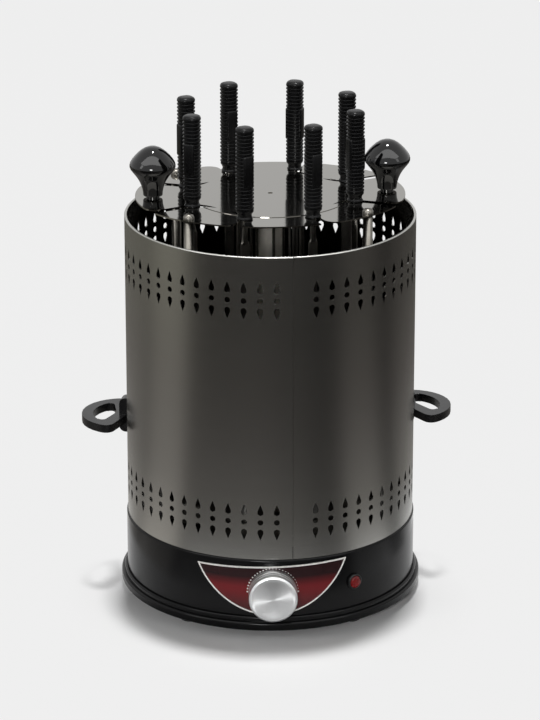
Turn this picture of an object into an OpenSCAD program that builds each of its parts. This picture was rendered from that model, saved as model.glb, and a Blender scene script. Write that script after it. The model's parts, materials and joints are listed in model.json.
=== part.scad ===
// Vertical electric grill for eight skewers: a round base with timer, motor and
// gears, a lift-off perforated casing, a central heater and a slotted top plate.
// Millimetres. The origin is on the table at the middle of the base, +Z is up and
// the timer knob faces -Y. Angles are measured from the front, positive towards +X.

/* [Casing] */
// Outside diameter of the casing
casing_d = 240; // [238:0.5:241]
// Height of the casing
casing_h = 259; // [230:1:266]
// Thickness of the casing sheet
casing_t = 1; // [0.8:0.1:1.2]
// How far the middle of the front seam is turned from the front
casing_turn = 10.2; // [4:0.1:12]
// Columns of holes in each half shell
perf_columns = 27; // [9:1:27]
// Angle from one column to the next
perf_pitch = 6.4; // [5:0.1:6.4]
// Angle without holes at the front seam
perf_gap = 15.3; // [15:0.1:16]
// Length of a drop-shaped hole
drop_len = 9.9; // [8:0.1:10]
// Width of a drop-shaped hole
drop_w = 5.3; // [4:0.1:5.6]
// Diameter of a round hole
dot_d = 5; // [4:0.1:5.4]
// Reach of a hole column from its middle to a tip
perf_reach = 15.7; // [15.2:0.1:16.5]
// Middle of the lower hole band above the casing's bottom edge
perf_low = 32.4; // [28:0.1:36]
// Middle of the upper hole band below the casing's top edge
perf_high = 36.9; // [28:0.1:45]

/* [Side handles] */
// Height of the middle of the loops
handle_z = 139.5; // [138:0.5:180]
// Turn of the handles' axis from the sides
handle_turn = 5; // [0:0.5:8]
// Turn of each handle away from the front, on both sides
handle_spread = 105; // [95:1:110]
// Thickness of the loop
loop_t = 7; // [6:0.5:9]
// Reach of the loop from the middle of the casing
loop_reach = 161; // [156:0.5:166]
// Half width of the loop
loop_half_w = 33.8; // [31:0.1:36]
// Width of the loop's outer band
loop_band = 9.6; // [8:0.1:11]
// Height of the mounting bar
bar_h = 30; // [26:1:36]
// Width of the mounting bar
bar_w = 10; // [9:0.5:12]
// Depth of the mounting bar
bar_t = 8.5; // [8:0.5:10]

/* [Base] */
// Outside diameter of the base wall
base_d = 242; // [241.5:0.5:244]
// Thickness of the base wall
base_t = 3; // [2.6:0.1:3.2]
// Height of the shoulder that carries the casing
seat_z = 67.7; // [67:0.1:70]
// Reach of the foot flange beyond the wall
flange_w = 5; // [4:0.5:9]
// Height of the foot flange
flange_h = 7; // [5:0.5:8]
// Height of the rubber feet
foot_h = 7; // [6:0.5:9]
// Diameter of a rubber foot
foot_d = 20; // [16:0.5:22]
// Radius of the circle of feet
foot_ring_r = 106; // [104:0.5:108]
// Angle of the feet from the front and the back
foot_turn = 38.5; // [36:0.5:42]
// Thickness of the bottom cover
cover_t = 2.5; // [2:0.1:3]

/* [Controls] */
// Turn of the control panel from the front
panel_turn = 1; // [0:0.5:2]
// Thickness of the control panel
panel_t = 0.8; // [0.6:0.1:1]
// Radius of the panel's round lower edge
panel_r = 64.5; // [60:0.5:65]
// Height of the panel's top edge
panel_top = 62.6; // [60:0.1:63]
// Tilt of the panel, its right end upwards, in degrees
panel_tilt = 1.5; // [0:0.1:2]
// Height of the knob's axis
knob_z = 40; // [39:0.5:41]
// Diameter of the timer knob
knob_d = 39.6; // [36:0.1:41]
// Length of the timer knob
knob_len = 16; // [14:0.5:20]
// Turn of the pilot lamp from the front
lamp_turn = 34.6; // [34:0.1:40]
// Height of the pilot lamp
lamp_z = 40.6; // [36:0.1:46]
// Diameter of the pilot lamp's lens
lamp_d = 10.4; // [9:0.1:12]

/* [Top plate] */
// Turn of the plate, posts and skewers from the front
unit_turn = 6; // [5:0.5:7]
// Height of the plate's upper face
plate_z = 343; // [338:1:350]
// Thickness of the plate
plate_t = 1.2; // [1:0.1:1.5]
// Radius of the plate's ends
plate_end_r = 80; // [79:0.5:81]
// Distance of the end arcs' centres from the middle
plate_end_c = 31; // [30.5:0.5:31.5]
// Distance of the side arcs' centres from the middle
plate_side_c = 43; // [42:0.5:44]
// Radius of the raised middle of the plate
raise_r = 66; // [62:0.5:67]
// Height of the raised middle
raise_h = 0.4; // [0.2:0.1:0.5]
// Width of a skewer slot
slot_w = 7; // [6.6:0.1:7.2]
// Rounding of a slot's open corner
slot_r = 10; // [8:0.5:11]
// Radius of the circle of lift knobs
lift_ring_r = 96.5; // [95:0.5:97]
// Diameter of a lift knob
lift_d = 40; // [36:0.5:41]
// Height of a lift knob
lift_h = 43; // [38:0.5:46]

/* [Posts] */
// Radius of the circle of posts
post_ring_r = 96; // [95:0.5:96.5]
// Diameter of a post
post_d = 8; // [7:0.1:8.4]
// Angle of the posts from the front and the back
post_turn = 49; // [48:0.5:50]
// Diameter of a dome nut
nut_d = 9; // [8:0.1:9.5]

/* [Skewers] */
// Width of a blade
blade_w = 8; // [7:0.1:8.4]
// Thickness of a blade
blade_t = 1.6; // [1.4:0.1:2]
// Diameter of the round shank under the handle
shank_d = 5; // [4:0.1:5.4]
// Length of a handle
grip_len = 76.2; // [74:0.1:84]
// Width of a handle over its ribs
grip_w = 14; // [13:0.1:15]
// Rounding of a handle's long edges
grip_r = 4.6; // [3:0.1:5]
// Ribs on a handle
rib_count = 21; // [15:1:21]
// Distance from one rib to the next
rib_pitch = 3.05; // [2.8:0.05:3.05]
// Depth of a rib
rib_depth = 0.9; // [0.5:0.1:1]

/* [Drip cups] */
// Outside diameter of a drip cup
cup_d = 48; // [44:0.5:50]
// Height of a drip cup
cup_h = 17.5; // [15:0.5:20]
// Wall of a drip cup
cup_t = 1.2; // [1:0.1:1.5]

/* [Drive] */
// Radial clearance of a shaft in its bore
run_gap = 0.05; // [0.03:0.01:0.08]
// Height of the gear plate's underside
gear_plate_z = 38; // [38:0.5:38.5]
// Thickness of the gear plate
gear_plate_t = 2.5; // [2.2:0.1:2.6]
// Diameter of the motor
motor_d = 46; // [40:0.5:47]
// Height of the motor
motor_h = 23; // [20:0.5:24]

/* [Heater] */
// Diameter of the quartz tube
quartz_d = 20; // [16:0.5:21]
// Radius of the guard's circle of wires
guard_r = 27; // [24:0.5:30]
// Wires of the guard
guard_wires = 12; // [8:1:14]
// Diameter of a guard wire
wire_d = 2.4; // [2:0.1:3]

/* [Hidden] */
$fn = 96;

// clearances
seat_gap = 0.3;                       // between pieces that lift or turn apart
fit_gap = 0.1;                        // between pieces fixed to each other

// base, from the table up
cover_top = foot_h + cover_t;
wall_r = base_d / 2;
wall_in = wall_r - base_t;
flange_r = wall_r + flange_w;
flange_step_r = wall_r + 2.4;
flange_step_h = 4.2;
casing_r = casing_d / 2;
casing_in = casing_r - casing_t;
casing_z = seat_z + seat_gap;
casing_top = casing_z + casing_h;
lip_out = casing_in - seat_gap;       // locating lip inside the casing
lip_t = 2.4;
lip_in = lip_out - lip_t;
lip_h = 6.3;
ledge_w = 4;
deck_z = seat_z + 1.3;
deck_t = 1;
deck_top = deck_z + deck_t;
deck_r = lip_in - seat_gap;
foot_turns = [foot_turn, -foot_turn, 180 - foot_turn, 180 + foot_turn];

// cover bosses under the gear plate
boss_ring_r = 88;
boss_r = 4.5;
boss_turns = [30, -30, 150, 210];
foot_boss_r = 5;
foot_boss_top = 30;

// drive: module 2 gears, the motor pinion meshes below the spindle pinions
gear_m = 2;
drive_teeth = 48;
spindle_teeth = 24;
motor_teeth = 12;
drive_plane = gear_plate_z + gear_plate_t;
gear_plate_r = wall_in - 14;
drive_z = 44;
drive_h = 11.5;
spindle_gear_h = 6;
spindle_gear_z = drive_z + drive_h - spindle_gear_h;
motor_gear_z = drive_z - 0.8;
motor_gear_h = spindle_gear_z - motor_gear_z - 0.7;
skewer_ring_r = gear_m * (drive_teeth + spindle_teeth) / 2;
motor_ring_r = gear_m * (drive_teeth + motor_teeth) / 2;
skewer_first = unit_turn + 22.5;
skewer_step = 45;
motor_turn = skewer_first + 157.5;
motor_shaft_r = 3;
motor_shaft_z = 30;
motor_z = gear_plate_z - 0.2 - motor_h;
hub_r = 14;
hub_in = 10;
hub_flange_r = 20;
hub_flange_h = 3.2;
spindle_r = 5;
journal_r = 4;
collar_r = 8;
bearing_h = 7;

// drip cups and skewers
collar_top = deck_top + 2;
cup_z = collar_top + 0.4;
peg_top = collar_top + 10;
socket_r = 7;
socket_top = cup_z + cup_h + 6;
socket_floor = peg_top + 2;
slot_gap = 0.3;
tip_z = socket_floor + slot_gap;
tip_len = 7;
grip_z = plate_z + seat_gap;
grip_bore = 30;
blade_top = plate_z - plate_t - 17;
shank_lap = 3;
// how each skewer happens to stand in the photograph
skewer_turns = [5, 42, 80, 88, 0, 45, 38, 50];
grip_neck_r = 3.65;
grip_neck = 5.5;
grip_rib_z = 8.2;
grip_band_ribs = 6;

// top plate
plate_under = plate_z - plate_t;
plate_side_r = plate_end_r + norm([plate_end_c, plate_side_c]);
lift_turns = [90, -90];
lift_bolt_r = 2.5;
stud_r = 2.4;
nut_h = 4.5;
post_turns = [post_turn, -post_turn, 180 - post_turn, 180 + post_turn];

// casing seam: the outer sheet laps over a tongue of the other half
seam_edge = casing_turn - 1.5;
lap_gap = 0.25;
tongue_turn = 3.4;
tongue_lap = 1.6;
hem_h = 3;
hem_t = 1.2;
handle_turns = [handle_turn - handle_spread, handle_turn + handle_spread];
screw_step = 9;
bar_z = handle_z + 3;

// controls
shaft_r = 3;
timer_w = 44;
timer_h = 42;
timer_t = 17;
timer_back = 3;
timer_front = sqrt(pow(wall_in - seat_gap, 2) - pow(timer_w / 2, 2));
panel_sag = 21.4;                     // height of the round edge's middle over the top edge
gland_z = 30;
gland_bore = 3.6;

// heater
quartz_t = 1.4;
socket_lower_r = 17;
socket_upper_r = 13;
socket_h = 16;
socket_upper_h = 12;
socket_lap = 6;
heater_top = plate_under - seat_gap;

// ---- shared shapes ----

// puts children at an angle from the front and a radius
module at(turn, r = 0, z = 0) {
  rotate([0, 0, turn]) translate([0, -r, z]) children();
}

// a drilled or turned shape along the outward direction at an angle on the wall
module outward(turn, r, z) {
  at(turn, r, z) rotate([90, 0, 0]) children();
}

module tube(r, r_in, h) {
  difference() {
    cylinder(r = r, h = h);
    translate([0, 0, -1]) cylinder(r = r_in, h = h + 2);
  }
}

function unit(v) = v / norm(v);
function angle_of(v) = atan2(v[1], v[0]);
function turn_between(a, b) = (b - a + 540) % 360 - 180;

// an outline with its corners rounded, one radius for each corner
function rounded(pts, radii, n = 4) = let (m = len(pts)) [for (i = [0:m - 1])
  let (p = pts[i], a = unit(pts[(i + m - 1) % m] - p), b = unit(pts[(i + 1) % m] - p),
    half = acos(a * b) / 2, r = radii[i], c = p + unit(a + b) * r / sin(half),
    from = angle_of(p + a * r / tan(half) - c), to = angle_of(p + b * r / tan(half) - c),
    sweep = turn_between(from, to))
  each (r == 0 ? [p] : [for (k = [0:n]) let (t = from + sweep * k / n)
    c + r * [cos(t), sin(t)]])];

function box_outline(w, h, r, n = 2) =
  rounded([[w / 2, h / 2], [-w / 2, h / 2], [-w / 2, -h / 2], [w / 2, -h / 2]],
    [r, r, r, r], n);

function bezier(a, b, c, d, n = 8) = [for (i = [0:n]) let (t = i / n, s = 1 - t)
  s * s * s * a + 3 * s * s * t * b + 3 * s * t * t * c + t * t * t * d];

// ---- gears ----

// trapezoid teeth, thinner than half a pitch so that meshing gears run free
function gear_outline(teeth, turn) = let (pitch_r = gear_m * teeth / 2, step = 360 / teeth,
  root = pitch_r - 1.25 * gear_m, tip = pitch_r + gear_m, at_pitch = step * 0.22,
  at_root = step * 0.34, at_tip = step * 0.1) [for (i = [0:teeth - 1]) let (t = turn + i * step)
  each [root * [cos(t - at_root), sin(t - at_root)],
    pitch_r * [cos(t - at_pitch), sin(t - at_pitch)],
    tip * [cos(t - at_tip), sin(t - at_tip)], tip * [cos(t + at_tip), sin(t + at_tip)],
    pitch_r * [cos(t + at_pitch), sin(t + at_pitch)],
    root * [cos(t + at_root), sin(t + at_root)]]];

module gear(teeth, turn, h) {
  linear_extrude(h) polygon(gear_outline(teeth, turn));
}

// ---- base ----

module base_housing() {
  color("#222222") difference() {
    union() {
      rotate_extrude() polygon([[wall_in, cover_top + fit_gap], [wall_r, cover_top + fit_gap],
        [wall_r, seat_z - 1.5], [wall_r - 0.4, seat_z - 0.5], [wall_r - 1.3, seat_z],
        [lip_out, seat_z], [lip_out, seat_z + lip_h - 1], [lip_out - 0.7, seat_z + lip_h],
        [lip_in, seat_z + lip_h], [lip_in, deck_z - fit_gap],
        [lip_in - ledge_w, deck_z - fit_gap], [lip_in - ledge_w, deck_z - 3],
        [wall_in, deck_z - 10]]);
      for (a = foot_turns) at(a, foot_ring_r, cover_top + fit_gap) {
        cylinder(r = foot_boss_r, h = foot_boss_top - cover_top);
        translate([-1.5, foot_ring_r - wall_in - 1, 2])
          cube([3, wall_in - foot_ring_r, foot_boss_top - cover_top - 6]);
      }
    }
    for (a = foot_turns) at(a, foot_ring_r, 0) cylinder(r = 1.6, h = 24);
    outward(panel_turn, wall_r - 8, knob_z) cylinder(r = shaft_r + 0.6, h = 16);
    outward(lamp_turn, wall_r - 8, lamp_z) cylinder(r = lamp_d / 2, h = 16);
    outward(180, wall_r - 8, gland_z) cylinder(r = 6.2, h = 16);
  }
}

module bottom_cover() {
  color("#1c1c1c") difference() {
    union() {
      rotate_extrude() polygon([[0, foot_h], [flange_r - 1, foot_h], [flange_r, foot_h + 1],
        [flange_r, foot_h + flange_h - 1.6], [flange_r - 0.5, foot_h + flange_h - 0.5],
        [flange_r - 1.6, foot_h + flange_h], [flange_step_r, foot_h + flange_h],
        [flange_step_r, foot_h + flange_h + flange_step_h - 1.2],
        [flange_step_r - 0.4, foot_h + flange_h + flange_step_h - 0.4],
        [flange_step_r - 1.2, foot_h + flange_h + flange_step_h],
        [wall_r + 0.4, foot_h + flange_h + flange_step_h], [wall_r + 0.4, cover_top],
        [0, cover_top]]);
      for (a = boss_turns) at(a, boss_ring_r, foot_h + 1)
        cylinder(r = boss_r, h = gear_plate_z - fit_gap - foot_h - 1);
    }
    for (a = boss_turns) at(a, boss_ring_r, gear_plate_z - 12) cylinder(r = 1.6, h = 14);
    for (a = foot_turns) at(a, foot_ring_r, foot_h - 1) cylinder(r = 2.2, h = cover_t + 2);
    for (a = [0:45:315]) at(a + 22.5, 52, foot_h - 1) translate([-1.5, -14, 0])
      cube([3, 28, cover_t + 2]);
  }
}

module rubber_feet() {
  color("#2b2b2b") for (a = foot_turns) at(a, foot_ring_r, 0) difference() {
    rotate_extrude() polygon([[0, 0], [foot_d / 2 - 2, 0], [foot_d / 2 - 0.8, 0.8],
      [foot_d / 2, foot_h - 1], [foot_d / 2, foot_h - fit_gap], [0, foot_h - fit_gap]]);
    translate([0, 0, -1]) cylinder(r = 4.4, h = 4.6);
    cylinder(r = 2.2, h = foot_h + 1);
  }
}

module panel_outline() {
  translate([0, knob_z]) rotate(panel_tilt) translate([0, -knob_z]) intersection() {
    translate([0, panel_top + panel_sag]) circle(r = panel_r);
    translate([-70, panel_top - 60]) square([140, 60]);
  }
}

module control_panel() {
  color("#5c1a20") difference() {
    intersection() {
      at(panel_turn, 0, 0) rotate([90, 0, 0]) linear_extrude(140) panel_outline();
      translate([0, 0, 10]) tube(wall_r + fit_gap + panel_t, wall_r + fit_gap, 60);
    }
    outward(panel_turn, wall_r - 8, knob_z) cylinder(r = shaft_r + 0.6, h = 16);
  }
}

module lamp_bezel() {
  color("#151515") outward(lamp_turn, wall_r + 0.1, lamp_z) rotate_extrude()
    polygon([[lamp_d / 2 + 0.1, 0], [lamp_d / 2 + 1.3, 0], [lamp_d / 2 + 1.3, 1.8],
      [lamp_d / 2 + 0.8, 2.4], [lamp_d / 2 + 0.1, 2.4]]);
}

module lamp_lens() {
  color("#a01818") outward(lamp_turn, wall_r - 14, lamp_z) rotate_extrude()
    polygon([[0, 0], [3.5, 0], [3.5, 10], [lamp_d / 2 - 0.4, 10.5], [lamp_d / 2 - 0.1, 14.5],
      [lamp_d / 2 - 0.1, 16], [lamp_d / 2 - 0.5, 17], [lamp_d / 2 - 1.4, 17.8],
      [lamp_d / 2 - 2.8, 18.4], [1, 18.8], [0, 18.8]]);
}

module timer_body() {
  color("#8a8a86") difference() {
    union() {
      at(panel_turn, timer_front, knob_z) {
        translate([-timer_w / 2, 0, -timer_h / 2]) cube([timer_w, timer_t, timer_h]);
        translate([-timer_w / 2 + 6, timer_t - 1, -timer_h / 2 + 6])
          cube([timer_w - 12, 1 + timer_back, timer_h - 12]);
        rotate([90, 0, 0]) cylinder(r = shaft_r, h = wall_r + 13 - timer_front);
      }
    }
    at(panel_turn, timer_front, knob_z) for (s = [-1, 1])
      translate([s * (timer_w / 2 - 4), 0, 0]) rotate([90, 0, 0])
        cylinder(r = 1.4, h = 12, center = true);
  }
}

module timer_knob() {
  r = knob_d / 2;
  color("#c9c9c7") outward(panel_turn, wall_r + fit_gap + panel_t + seat_gap + 0.1, knob_z)
    difference() {
      rotate_extrude() polygon([[0, 0], [7, 0], [7, 2], [r - 2.2, 2], [r - 2.2, 0],
        [r - 0.5, 0], [r, 0.5], [r, knob_len - 3.4], [r - 0.3, knob_len - 2.9],
        [r - 0.75, knob_len - 2.9], [r - 0.75, knob_len - 2.4], [r - 0.9, knob_len - 0.8],
        [r - 1.7, knob_len], [r - 3.2, knob_len], [r - 4, knob_len - 0.4],
        [0, knob_len - 0.4]]);
      translate([0, 0, -1]) cylinder(r = shaft_r + run_gap, h = 13);
      translate([-r + 2.6, -0.6, knob_len - 1]) cube([5, 1.2, 2]);
    }
}

module cord_gland() {
  color("#1a1a1a") outward(180, wall_r - 10, gland_z) difference() {
    rotate_extrude() polygon([[0, 3], [8.5, 3], [8.5, 6.4], [6, 6.4], [6, 10.3], [8.5, 10.3],
      [8.5, 13], [5.6, 26], [0, 26]]);
    translate([0, 0, -1]) cylinder(r = gland_bore, h = 30);
  }
}

// ---- drive ----

module gear_plate() {
  color("#9a9c9e") difference() {
    at(0, 0, gear_plate_z) cylinder(r = gear_plate_r, h = gear_plate_t);
    at(panel_turn, gear_plate_r + 10, gear_plate_z - 1)
      translate([-timer_w / 2 - 2, 0, 0]) cube([timer_w + 4, 36, gear_plate_t + 2]);
    for (k = [1:8]) at(skewer_first + skewer_step * (k - 1), skewer_ring_r, gear_plate_z - 1)
      cylinder(r = journal_r + run_gap, h = gear_plate_t + 2);
    at(motor_turn, motor_ring_r, gear_plate_z - 1) cylinder(r = 5, h = gear_plate_t + 2);
    for (a = post_turns) at(a + unit_turn, post_ring_r, gear_plate_z - 1)
      cylinder(r = 2.2, h = gear_plate_t + 2);
    for (a = boss_turns) at(a, boss_ring_r, gear_plate_z - 1)
      cylinder(r = 2.2, h = gear_plate_t + 2);
    for (a = [0:120:240]) at(a, 17, gear_plate_z - 1) cylinder(r = 1.7, h = gear_plate_t + 2);
    for (s = [-1, 1]) at(motor_turn, motor_ring_r, gear_plate_z - 1)
      translate([s * (motor_d / 2 - 5), 0, 0]) cylinder(r = 1.7, h = gear_plate_t + 2);
    cylinder(r = hub_in, h = 60);
  }
}

module gear_motor() {
  color("#a7a9a8") at(motor_turn, motor_ring_r, motor_z) difference() {
    union() {
      cylinder(r = motor_d / 2, h = motor_h);
      translate([0, 0, motor_h - 9]) cylinder(r = motor_d / 2 + 1, h = 2);
      translate([-9, -motor_d / 2 - 6, 3]) cube([18, 12, 9]);
    }
    translate([0, 0, motor_shaft_z - motor_z - 1]) cylinder(r = motor_shaft_r + run_gap, h = 30);
    for (s = [-1, 1]) translate([s * (motor_d / 2 - 5), 0, motor_h - 6]) cylinder(r = 1.3, h = 8);
  }
}

module motor_pinion() {
  color("#d8d2c0") at(motor_turn, motor_ring_r, 0) {
    translate([0, 0, motor_gear_z]) gear(motor_teeth, 90 + 180 / motor_teeth, motor_gear_h);
    translate([0, 0, motor_shaft_z])
      cylinder(r = motor_shaft_r, h = motor_gear_z + motor_gear_h - motor_shaft_z);
  }
}

module drive_gear() {
  color("#d8d2c0") difference() {
    translate([0, 0, drive_z]) rotate([0, 0, skewer_first - 90]) gear(drive_teeth, 0, drive_h);
    translate([0, 0, drive_z - 1]) cylinder(r = hub_r + run_gap, h = drive_h + 2);
    for (a = [0:60:300]) at(a, 30, drive_z - 1) cylinder(r = 6, h = drive_h + 2);
  }
}

module centre_hub() {
  color("#b0b2b4") difference() {
    union() {
      translate([0, 0, drive_plane + fit_gap]) cylinder(r = hub_flange_r, h = hub_flange_h);
      translate([0, 0, drive_plane + fit_gap])
        cylinder(r = hub_r, h = deck_z - drive_plane - 2 * fit_gap);
    }
    translate([0, 0, drive_plane - 1]) cylinder(r = hub_in, h = 40);
    for (a = [0:120:240]) at(a, 17, drive_plane - 1) cylinder(r = 1.3, h = hub_flange_h + 3);
  }
}

module spindle(k) {
  color("#cfc9b6") at(skewer_first + skewer_step * (k - 1), skewer_ring_r, 0) {
    translate([0, 0, gear_plate_z - 1.5]) cylinder(r = journal_r, h = 6);
    translate([0, 0, drive_plane + seat_gap])
      cylinder(r = spindle_r, h = peg_top - drive_plane - seat_gap);
    translate([0, 0, spindle_gear_z]) gear(spindle_teeth, 90 + 180 / spindle_teeth, spindle_gear_h);
    translate([0, 0, deck_top + seat_gap]) cylinder(r = collar_r, h = collar_top - deck_top - seat_gap);
  }
}

module cooking_deck() {
  color("#b9bbbc") difference() {
    union() {
      translate([0, 0, deck_z]) cylinder(r = deck_r, h = deck_t);
      for (k = [1:8]) at(skewer_first + skewer_step * (k - 1), skewer_ring_r, deck_z - bearing_h)
        cylinder(r = collar_r, h = bearing_h + 0.5);
    }
    for (k = [1:8]) at(skewer_first + skewer_step * (k - 1), skewer_ring_r, deck_z - bearing_h - 1)
      cylinder(r = spindle_r + run_gap, h = bearing_h + 4);
    for (a = post_turns) at(a + unit_turn, post_ring_r, deck_z - 1)
      cylinder(r = post_d / 2 + fit_gap, h = deck_t + 2);
    translate([0, 0, deck_z - 1]) cylinder(r = 6, h = deck_t + 2);
  }
}

module drip_cup(k) {
  r = cup_d / 2;
  color("#c4c6c7") at(skewer_first + skewer_step * (k - 1), skewer_ring_r, 0) difference() {
    rotate_extrude() polygon([[0, cup_z], [r - 3, cup_z], [r - 1.2, cup_z + 1.4],
      [r - 0.8, cup_z + 3], [r - 0.8, cup_z + cup_h - 1.4], [r, cup_z + cup_h - 1],
      [r, cup_z + cup_h], [r - 0.8 - cup_t, cup_z + cup_h], [r - 0.8 - cup_t, cup_z + 3],
      [r - 3, cup_z + cup_t], [socket_r + 1.2, cup_z + cup_t], [socket_r, cup_z + 3],
      [socket_r, socket_top - 1], [socket_r - 1, socket_top], [0, socket_top]]);
    translate([0, 0, cup_z - 1])
      cylinder(r = spindle_r + run_gap, h = peg_top + seat_gap - cup_z + 1);
    rotate([0, 0, skewer_turns[k - 1]]) translate([-blade_w / 2 - slot_gap,
      -blade_t / 2 - slot_gap, socket_floor])
      cube([blade_w + 2 * slot_gap, blade_t + 2 * slot_gap, 20]);
  }
}

// ---- heater ----

module heater_tube() {
  color("#d9d2c4") translate([0, 0, deck_top + socket_h - socket_lap + fit_gap])
    tube(quartz_d / 2, quartz_d / 2 - quartz_t,
      heater_top - socket_upper_h - deck_top - socket_h + 2 * socket_lap - 2 * fit_gap);
}

module heater_sockets() {
  color("#e4dfd2") difference() {
    union() {
      translate([0, 0, deck_top + fit_gap]) cylinder(r = socket_lower_r, h = 3);
      translate([0, 0, deck_top + fit_gap]) cylinder(r = socket_lower_r - 3, h = socket_h - fit_gap);
      translate([0, 0, heater_top - socket_upper_h]) cylinder(r = socket_upper_r, h = socket_upper_h);
    }
    translate([0, 0, deck_top + socket_h - socket_lap]) cylinder(r = quartz_d / 2 + fit_gap,
      h = heater_top - socket_upper_h - deck_top - socket_h + 2 * socket_lap);
    translate([0, 0, deck_top - 1]) cylinder(r = 4, h = 14);
  }
}

module heater_guard() {
  color("#b5b5b0") {
    difference() {
      union() {
        translate([0, 0, deck_top + fit_gap]) cylinder(r = guard_r + 2, h = 2.4);
        translate([0, 0, plate_under - fit_gap - 2.4]) cylinder(r = guard_r + 2, h = 2.4);
        for (i = [0:guard_wires - 1]) at(unit_turn + i * 360 / guard_wires, guard_r, deck_top + 1)
          cylinder(r = wire_d / 2, h = plate_under - deck_top - 2, $fn = 12);
      }
      translate([0, 0, deck_top - 1]) cylinder(r = guard_r - 2, h = 4.6);
      translate([0, 0, plate_under - 3.6]) cylinder(r = guard_r - 2, h = 4.6);
    }
  }
}

// ---- posts and top plate ----

module support_posts() {
  color("#c8c8c6") for (a = post_turns) at(a + unit_turn, post_ring_r, 0) difference() {
    union() {
      translate([0, 0, drive_plane + fit_gap])
        cylinder(r = post_d / 2, h = plate_under - drive_plane - 2 * fit_gap);
      translate([0, 0, plate_under - 5]) cylinder(r = stud_r, h = plate_t + 8);
    }
    translate([0, 0, drive_plane - 1]) cylinder(r = 1.6, h = 15);
  }
}

module dome_nuts() {
  r = nut_d / 2;
  color("#d5d5d3") for (a = post_turns) at(a + unit_turn, post_ring_r, plate_z + fit_gap) difference() {
    rotate_extrude() polygon([[0, 0], [r, 0], [r, 1.6], [r - 0.3, 2.6], [r - 1.1, 3.6],
      [r - 2.2, 4.2], [0.8, nut_h], [0, nut_h]]);
    translate([0, 0, -1]) cylinder(r = stud_r + fit_gap, h = 4.4);
  }
}

// distance of the plate's edge from the middle, along an angle of the plate's own frame
function edge_centre(b) = let (x = sin(b), y = -cos(b), t = atan2(plate_side_c, plate_end_c),
  side = abs(atan2(abs(y) * plate_side_r - 0, abs(x) * plate_side_r)) > corner_turn())
  side ? [0, y < 0 ? plate_side_c : -plate_side_c] : [x > 0 ? plate_end_c : -plate_end_c, 0];
// where side and end arcs meet, seen from the middle
function corner_point() = [0, -plate_side_c]
  + plate_side_r * unit([plate_end_c, plate_side_c]);
function corner_turn() = angle_of(corner_point());
function edge_radius(b) = edge_centre(b)[0] == 0 ? plate_side_r : plate_end_r;
function edge_point(b) = let (c = edge_centre(b), r = edge_radius(b), d = [sin(b), -cos(b)],
  u = c * d) (u + sqrt(u * u - c * c + r * r)) * d;

// corner of a slot mouth on side w, given in radial and sideways distances
function mouth(b, w, open) = let (c = edge_centre(b), r = edge_radius(b),
  cu = c * [sin(b), -cos(b)], cv = c * [cos(b), sin(b)], v = w * (slot_w / 2 + slot_r),
  u = cu + sqrt(pow(r - slot_r, 2) - pow(v - cv, 2)), dir = unit([u - cu, v - cv]),
  from = -90 * w, sweep = turn_between(from, angle_of(dir)))
  open != w ? [[130, w * slot_w / 2]] : concat(
    [for (i = [0:6]) let (t = from + sweep * i / 6) [u, v] + slot_r * [cos(t), sin(t)]],
    [[cu, cv] + (r + 12) * dir]);

function reversed(list) = [for (i = [len(list) - 1:-1:0]) list[i]];

// slot k: a channel from the edge, ending in a pointed tail on side s
function slot_outline(k) = let (b = 22.5 + 45 * (k - 1), s = k % 2 == 1 ? 1 : -1,
  open = (k == 1 || k == 2 || k == 5 || k == 6) ? 1 : -1, h = slot_w / 2, tip = [57.4, 15.5 * s])
  concat(
    bezier(tip, [60, 5 * s], [66, -h * s], [76, -h * s]), mouth(b, -s, open),
    reversed(mouth(b, s, open)), reversed(bezier(tip, [62, 9.5 * s], [68.5, h * s], [76, h * s])));

module top_plate() {
  color("#cfcdc8") translate([0, 0, plate_under]) rotate([0, 0, unit_turn]) difference() {
    union() {
      linear_extrude(plate_t) polygon([for (b = [0:3:357]) edge_point(b)]);
      cylinder(r = raise_r, h = plate_t + raise_h);
    }
    for (k = [1:8]) at(22.5 + 45 * (k - 1), 0, -1) linear_extrude(plate_t + 2)
      polygon([for (p = slot_outline(k)) [p[1], -p[0]]]);
    for (a = post_turns) at(a, post_ring_r, -1) cylinder(r = stud_r + fit_gap, h = plate_t + 2);
    for (a = lift_turns) at(a, lift_ring_r, -1) cylinder(r = lift_bolt_r + fit_gap, h = plate_t + 2);
    at(0, 0, -1) cylinder(r = 2, h = plate_t + 2);
  }
}

module lift_knobs() {
  r = lift_d / 2;
  h = lift_h;
  color("#161616") for (a = lift_turns) at(a + unit_turn, lift_ring_r, plate_z + fit_gap) difference() {
    rotate_extrude() polygon([[0, 0], [5.3, 0], [5.3, 1.8], [8, 2.1], [8.15, 4.5], [8.6, 6.7],
      [9.4, 10.1], [11.4, 13.9], [14.2, 17.7], [r * 0.87, h * 0.502], [r * 0.935, h * 0.54],
      [r * 0.975, h * 0.575], [r, h * 0.633], [r * 0.99, h * 0.675], [r * 0.95, h * 0.73],
      [r * 0.87, h * 0.786], [r * 0.77, h * 0.855], [r * 0.67, h * 0.914],
      [r * 0.55, h * 0.957], [r * 0.4, h * 0.982], [r * 0.2, h], [0, h]]);
    translate([0, 0, -1]) cylinder(r = lift_bolt_r + fit_gap, h = 16);
  }
}

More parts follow.
